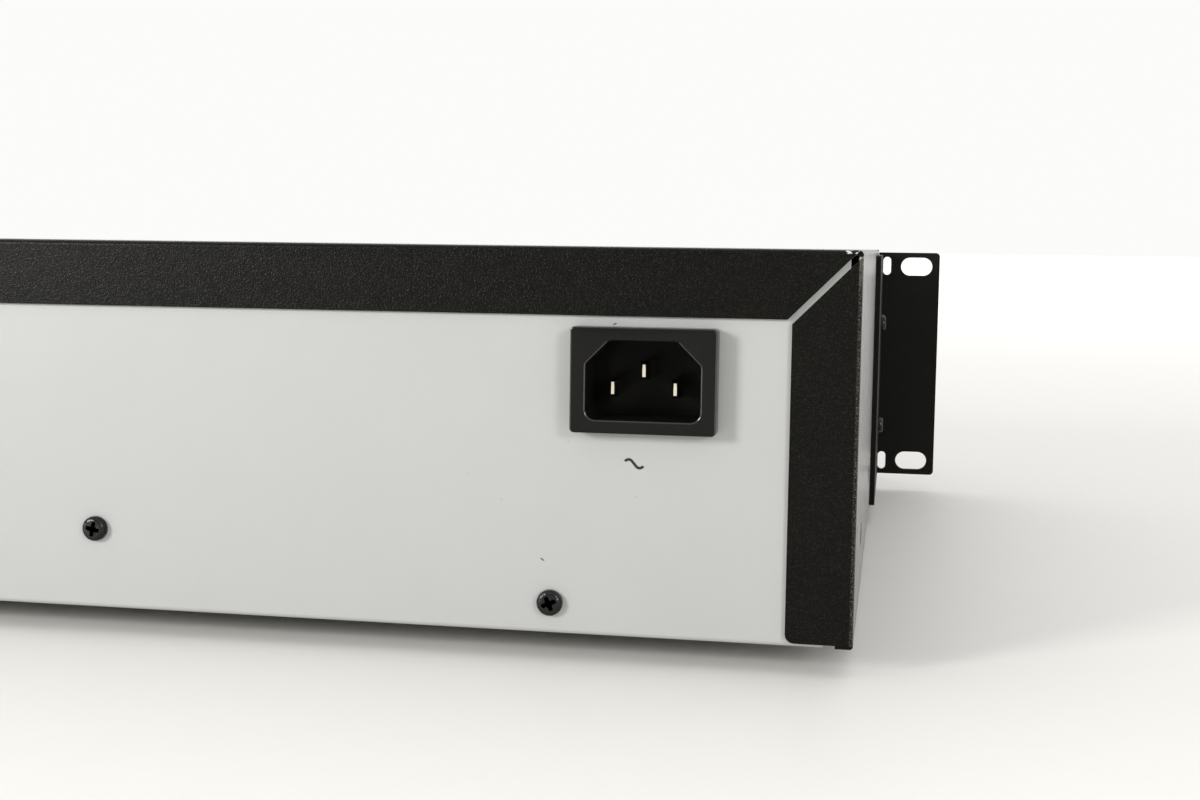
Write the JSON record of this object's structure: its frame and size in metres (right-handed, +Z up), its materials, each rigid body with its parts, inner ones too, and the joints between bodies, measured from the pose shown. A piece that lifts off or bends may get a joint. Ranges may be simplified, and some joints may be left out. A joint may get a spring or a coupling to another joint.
{
  "type": "cd recorder",
  "caption": "Rack-mounting disc recorder with a steel case, rack ears, a motor-driven disc tray, front keys and knobs, and a mains inlet and audio jacks on its rear panel.",
  "frame": {"origin": "middle of the object's box, on the plane that the feet stand on", "axes": "+X to the right seen from the front, the front faces -Y and the rear panel +Y, +Z up"},
  "size_m": [0.4826, 0.318, 0.0945],
  "materials": {
    "cover_paint": "satin",
    "ear_paint": "satin",
    "panel_paint": "satin",
    "bare_steel": "satin",
    "black_screw": "satin",
    "zinc_screw": "satin",
    "front_plastic": "matte",
    "key_plastic": "matte",
    "knob_plastic": "matte",
    "foot_rubber": "matte",
    "inlet_plastic": "satin",
    "pin_plate": "polished",
    "jack_plastic": "satin",
    "jack_plate": "polished",
    "window_tint": "gloss",
    "display_glass": "gloss",
    "board_green": "satin",
    "board_brown": "satin",
    "loader_plastic": "matte",
    "tray_plastic": "matte",
    "gear_plastic": "satin",
    "belt_rubber": "matte",
    "motor_steel": "satin",
    "sled_metal": "matte",
    "winding": "satin",
    "ribbon_plastic": "satin"
  },
  "bodies": {
    "case": {"chassis": "bare_steel", "rear_panel": "panel_paint", "top_cover": "cover_paint", "front_panel": "front_plastic", "rack_ear_left": "ear_paint", "rack_ear_right": "ear_paint", "foot_front_left": "foot_rubber", "foot_front_right": "foot_rubber", "foot_rear_left": "foot_rubber", "foot_rear_right": "foot_rubber", "foot_screws": "zinc_screw", "cover_screws": "black_screw", "ear_screws": "black_screw", "rear_screws": "black_screw", "inlet_housing": "inlet_plastic", "inlet_pins": "pin_plate", "analog_jack_block": "jack_plastic", "coax_jack_block": "jack_plastic", "jack_sleeves": "jack_plate", "optical_input": "jack_plastic", "optical_output": "jack_plastic", "display_window": "window_tint", "display_module": "display_glass", "front_board": "board_green", "phones_socket": "jack_plastic", "loader_frame": "loader_plastic", "clamp_bridge": "bare_steel", "loading_motor": "motor_steel", "loading_belt": "belt_rubber", "main_board": "board_green", "power_board": "board_brown", "power_transformer": "winding", "front_ribbon": "ribbon_plastic"},
    "tray": {"disc_tray": "tray_plastic", "tray_front": "front_plastic"},
    "traverse": {"traverse_frame": "loader_plastic", "traverse_motors": "motor_steel", "sled_rails": "motor_steel"},
    "tray_gear": {"tray_gear": "gear_plastic"},
    "pulley_gear": {"pulley_gear": "gear_plastic"},
    "motor_pulley": {"motor_pulley": "gear_plastic"},
    "turntable": {"turntable": "tray_plastic"},
    "pickup_sled": {"pickup_sled": "sled_metal"},
    "sled_screw": {"sled_screw": "motor_steel"},
    "clamper": {"clamper": "gear_plastic"},
    "power_button": {"power_button": "key_plastic"},
    "phones_knob": {"phones_knob": "knob_plastic"},
    "level_knob_outer": {"level_knob_outer": "knob_plastic"},
    "level_knob_inner": {"level_knob_inner": "knob_plastic"},
    "jog_dial": {"jog_dial": "knob_plastic"},
    "skip_back_key": {"skip_back_key": "key_plastic"},
    "skip_next_key": {"skip_next_key": "key_plastic"},
    "stop_key": {"stop_key": "key_plastic"},
    "pause_key": {"pause_key": "key_plastic"},
    "play_key": {"play_key": "key_plastic"},
    "record_key": {"record_key": "key_plastic"},
    "eject_key": {"eject_key": "key_plastic"},
    "menu_key": {"menu_key": "key_plastic"},
    "display_key": {"display_key": "key_plastic"},
    "input_key": {"input_key": "key_plastic"}
  },
  "joints": [
    {"name": "tray_slide", "type": "slide", "parent": "case", "child": "tray", "axis": [0, -1, 0], "range_m": [0, 0.14]},
    {"name": "tray_gear_spin", "type": "hinge", "parent": "case", "child": "tray_gear", "pos_m": [-0.106, -0.108, 0.0565], "axis": [0, 0, 1], "range_deg": [0, 670]},
    {"name": "pulley_gear_spin", "type": "hinge", "parent": "case", "child": "pulley_gear", "pos_m": [-0.088, -0.108, 0.0515], "axis": [0, 0, 1], "range_deg": [-1340, 0]},
    {"name": "motor_pulley_spin", "type": "hinge", "parent": "case", "child": "motor_pulley", "pos_m": [-0.046, -0.108, 0.0465], "axis": [0, 0, 1], "range_deg": [-3985, 0]},
    {"name": "traverse_lift", "type": "hinge", "parent": "case", "child": "traverse", "pos_m": [-0.076, 0.025, 0.05], "axis": [-1, 0, 0], "range_deg": [0, 3.2]},
    {"name": "turntable_spin", "type": "hinge", "parent": "traverse", "child": "turntable", "pos_m": [-0.076, -0.07, 0.0585], "axis": [0, 0, 1], "continuous": true},
    {"name": "sled_slide", "type": "slide", "parent": "traverse", "child": "pickup_sled", "axis": [0, 1, 0], "range_m": [0, 0.034]},
    {"name": "sled_screw_spin", "type": "hinge", "parent": "traverse", "child": "sled_screw", "pos_m": [-0.046, -0.03, 0.0539], "axis": [0, 1, 0], "range_deg": [0, 4085]},
    {"name": "clamper_spin", "type": "hinge", "parent": "case", "child": "clamper", "pos_m": [-0.076, -0.07, 0.0725], "axis": [0, 0, 1], "continuous": true},
    {"name": "power_press", "type": "slide", "parent": "case", "child": "power_button", "axis": [0, 1, 0], "range_m": [0, 0.003], "stiffness_N_per_m": 500, "springref_m": -0.001},
    {"name": "skip_back_press", "type": "slide", "parent": "case", "child": "skip_back_key", "axis": [0, 1, 0], "range_m": [0, 0.0008], "stiffness_N_per_m": 800, "springref_m": -0.0005},
    {"name": "skip_next_press", "type": "slide", "parent": "case", "child": "skip_next_key", "axis": [0, 1, 0], "range_m": [0, 0.0008], "stiffness_N_per_m": 800, "springref_m": -0.0005},
    {"name": "stop_press", "type": "slide", "parent": "case", "child": "stop_key", "axis": [0, 1, 0], "range_m": [0, 0.0008], "stiffness_N_per_m": 800, "springref_m": -0.0005},
    {"name": "pause_press", "type": "slide", "parent": "case", "child": "pause_key", "axis": [0, 1, 0], "range_m": [0, 0.0008], "stiffness_N_per_m": 800, "springref_m": -0.0005},
    {"name": "play_press", "type": "slide", "parent": "case", "child": "play_key", "axis": [0, 1, 0], "range_m": [0, 0.0008], "stiffness_N_per_m": 800, "springref_m": -0.0005},
    {"name": "record_press", "type": "slide", "parent": "case", "child": "record_key", "axis": [0, 1, 0], "range_m": [0, 0.0008], "stiffness_N_per_m": 800, "springref_m": -0.0005},
    {"name": "eject_press", "type": "slide", "parent": "case", "child": "eject_key", "axis": [0, 1, 0], "range_m": [0, 0.0008], "stiffness_N_per_m": 800, "springref_m": -0.0005},
    {"name": "menu_press", "type": "slide", "parent": "case", "child": "menu_key", "axis": [0, 1, 0], "range_m": [0, 0.0008], "stiffness_N_per_m": 800, "springref_m": -0.0005},
    {"name": "display_press", "type": "slide", "parent": "case", "child": "display_key", "axis": [0, 1, 0], "range_m": [0, 0.0008], "stiffness_N_per_m": 800, "springref_m": -0.0005},
    {"name": "input_press", "type": "slide", "parent": "case", "child": "input_key", "axis": [0, 1, 0], "range_m": [0, 0.0008], "stiffness_N_per_m": 800, "springref_m": -0.0005},
    {"name": "phones_turn", "type": "hinge", "parent": "case", "child": "phones_knob", "pos_m": [-0.17, -0.145, 0.0265], "axis": [0, 1, 0], "range_deg": [0, 300]},
    {"name": "level_outer_turn", "type": "hinge", "parent": "case", "child": "level_knob_outer", "pos_m": [0.19, -0.145, 0.0645], "axis": [0, 1, 0], "range_deg": [0, 300]},
    {"name": "level_inner_turn", "type": "hinge", "parent": "case", "child": "level_knob_inner", "pos_m": [0.19, -0.145, 0.0645], "axis": [0, 1, 0], "range_deg": [0, 300]},
    {"name": "jog_turn", "type": "hinge", "parent": "case", "child": "jog_dial", "pos_m": [0.14, -0.145, 0.0645], "axis": [0, 1, 0], "continuous": true}
  ],
  "couplings": [
    {"joint": "tray_gear_spin", "follows": "tray_slide", "rad_per_m": 83.333},
    {"joint": "pulley_gear_spin", "follows": "tray_slide", "rad_per_m": -166.67},
    {"joint": "motor_pulley_spin", "follows": "tray_slide", "rad_per_m": -496.53},
    {"joint": "sled_screw_spin", "follows": "sled_slide", "rad_per_m": 2094.4}
  ]
}
